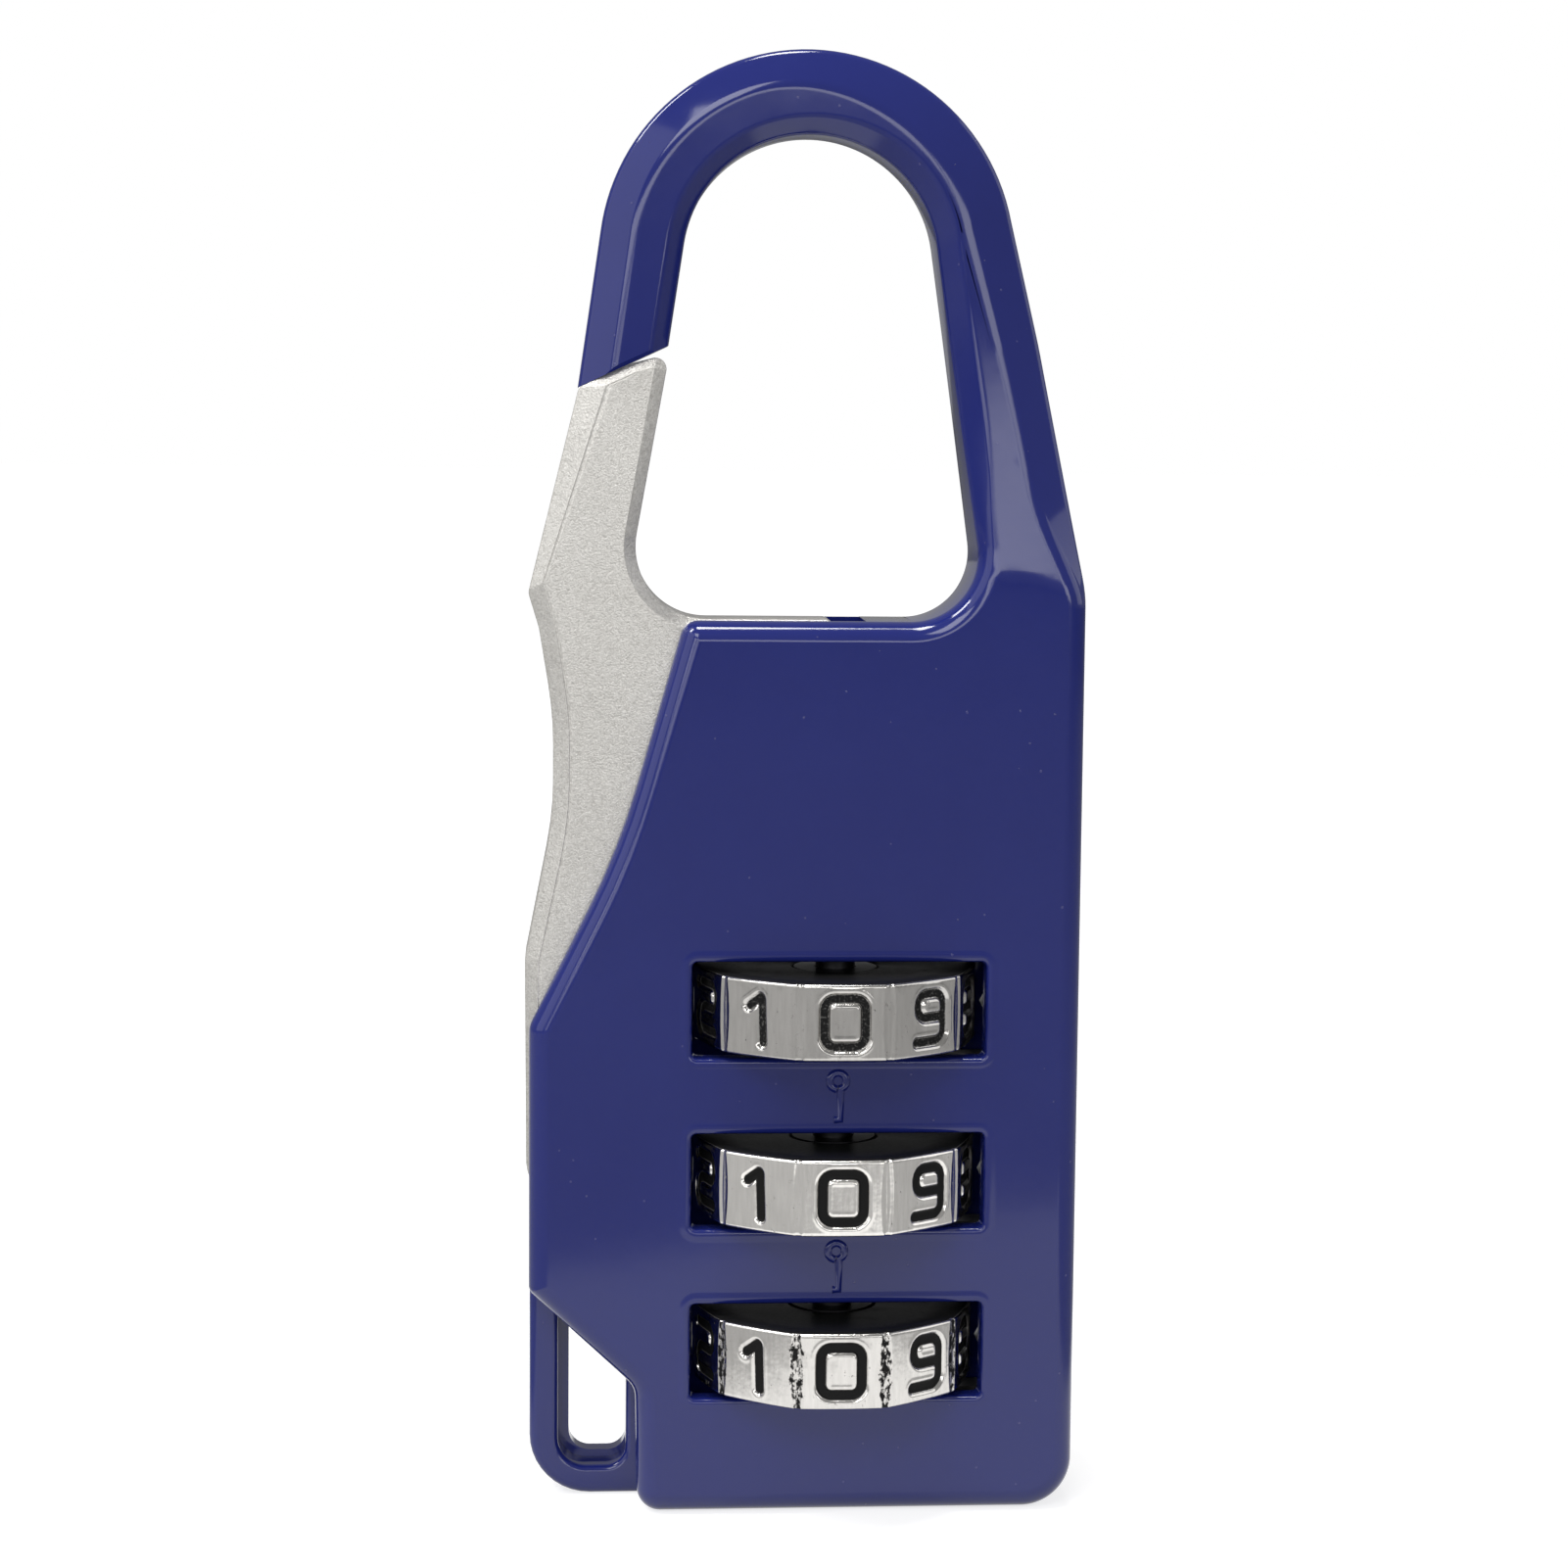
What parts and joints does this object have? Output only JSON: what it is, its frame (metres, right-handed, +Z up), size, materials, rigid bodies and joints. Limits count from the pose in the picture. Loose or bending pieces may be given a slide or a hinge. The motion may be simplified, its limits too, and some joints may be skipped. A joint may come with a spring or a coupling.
{
  "type": "carabiner combination padlock",
  "caption": "Flat carabiner padlock with a hooked casting, an inward-swinging gate lever, three numbered dials and a strap loop.",
  "frame": {"origin": "middle of the flat bottom, at the base of the body", "axes": "+Z up along the hook, -Y out of the front face, +X to the right of someone facing the dials"},
  "size_m": [0.0307, 0.0154, 0.08],
  "materials": {
    "blue_paint": "gloss",
    "silver_paint": "matt, fine grained",
    "dial_nickel": "satin nickel",
    "brass": "turned",
    "dark_steel": "black oxide",
    "steel": "plain",
    "slide_plastic": "moulded"
  },
  "bodies": {
    "case": {"body_casting": "blue_paint", "back_cover": "blue_paint", "cover_rivets": "steel", "gate_pivot_pin": "steel", "spindle_bush": "brass", "spring_washer": "steel", "spindle_spring": "steel", "detent_strip": "steel", "detent_finger_top": "steel", "detent_finger_middle": "steel", "detent_finger_bottom": "steel", "reset_spring": "steel"},
    "gate": {"gate_lever": "silver_paint"},
    "spindle": {"spindle": "dark_steel"},
    "dial_top": {"dial_top": "dial_nickel"},
    "dial_middle": {"dial_middle": "dial_nickel"},
    "dial_bottom": {"dial_bottom": "dial_nickel"},
    "sleeve_top": {"clutch_sleeve_top": "dark_steel"},
    "sleeve_middle": {"clutch_sleeve_middle": "dark_steel"},
    "sleeve_bottom": {"clutch_sleeve_bottom": "dark_steel"},
    "reset": {"reset_slide": "slide_plastic"}
  },
  "joints": [
    {"name": "gate_swing", "type": "hinge", "parent": "case", "child": "gate", "pos_m": [-0.0125, 0, 0.02], "axis": [0, 1, 0], "range_deg": [0, 10], "stiffness_Nm_per_rad": 0.4, "springref_deg": -11.46},
    {"name": "spindle_press", "type": "slide", "parent": "case", "child": "spindle", "axis": [0, 0, -1], "range_m": [0, 0.0025], "deforming": ["spindle_spring"]},
    {"name": "reset_push", "type": "slide", "parent": "case", "child": "reset", "axis": [0, 0, 1], "range_m": [0, 0.001], "stiffness_N_per_m": 200, "springref_m": -0.002, "deforming": ["reset_spring"]},
    {"name": "dial_top_turn", "type": "hinge", "parent": "case", "child": "dial_top", "pos_m": [0.0018, 0, 0.0282], "axis": [0, 0, 1], "continuous": true},
    {"name": "dial_middle_turn", "type": "hinge", "parent": "case", "child": "dial_middle", "pos_m": [0.0018, 0, 0.0187], "axis": [0, 0, 1], "continuous": true},
    {"name": "dial_bottom_turn", "type": "hinge", "parent": "case", "child": "dial_bottom", "pos_m": [0.0018, 0, 0.0092], "axis": [0, 0, 1], "continuous": true},
    {"name": "sleeve_top_shift", "type": "slide", "parent": "dial_top", "child": "sleeve_top", "axis": [0, 0, 1], "range_m": [0, 0.001]},
    {"name": "sleeve_middle_shift", "type": "slide", "parent": "dial_middle", "child": "sleeve_middle", "axis": [0, 0, 1], "range_m": [0, 0.001]},
    {"name": "sleeve_bottom_shift", "type": "slide", "parent": "dial_bottom", "child": "sleeve_bottom", "axis": [0, 0, 1], "range_m": [0, 0.001]}
  ],
  "couplings": [
    {"joint": "spindle_press", "follows": "gate_swing", "m_per_rad": 0.014},
    {"joint": "sleeve_top_shift", "follows": "reset_push", "ratio": 1},
    {"joint": "sleeve_middle_shift", "follows": "reset_push", "ratio": 1},
    {"joint": "sleeve_bottom_shift", "follows": "reset_push", "ratio": 1}
  ]
}
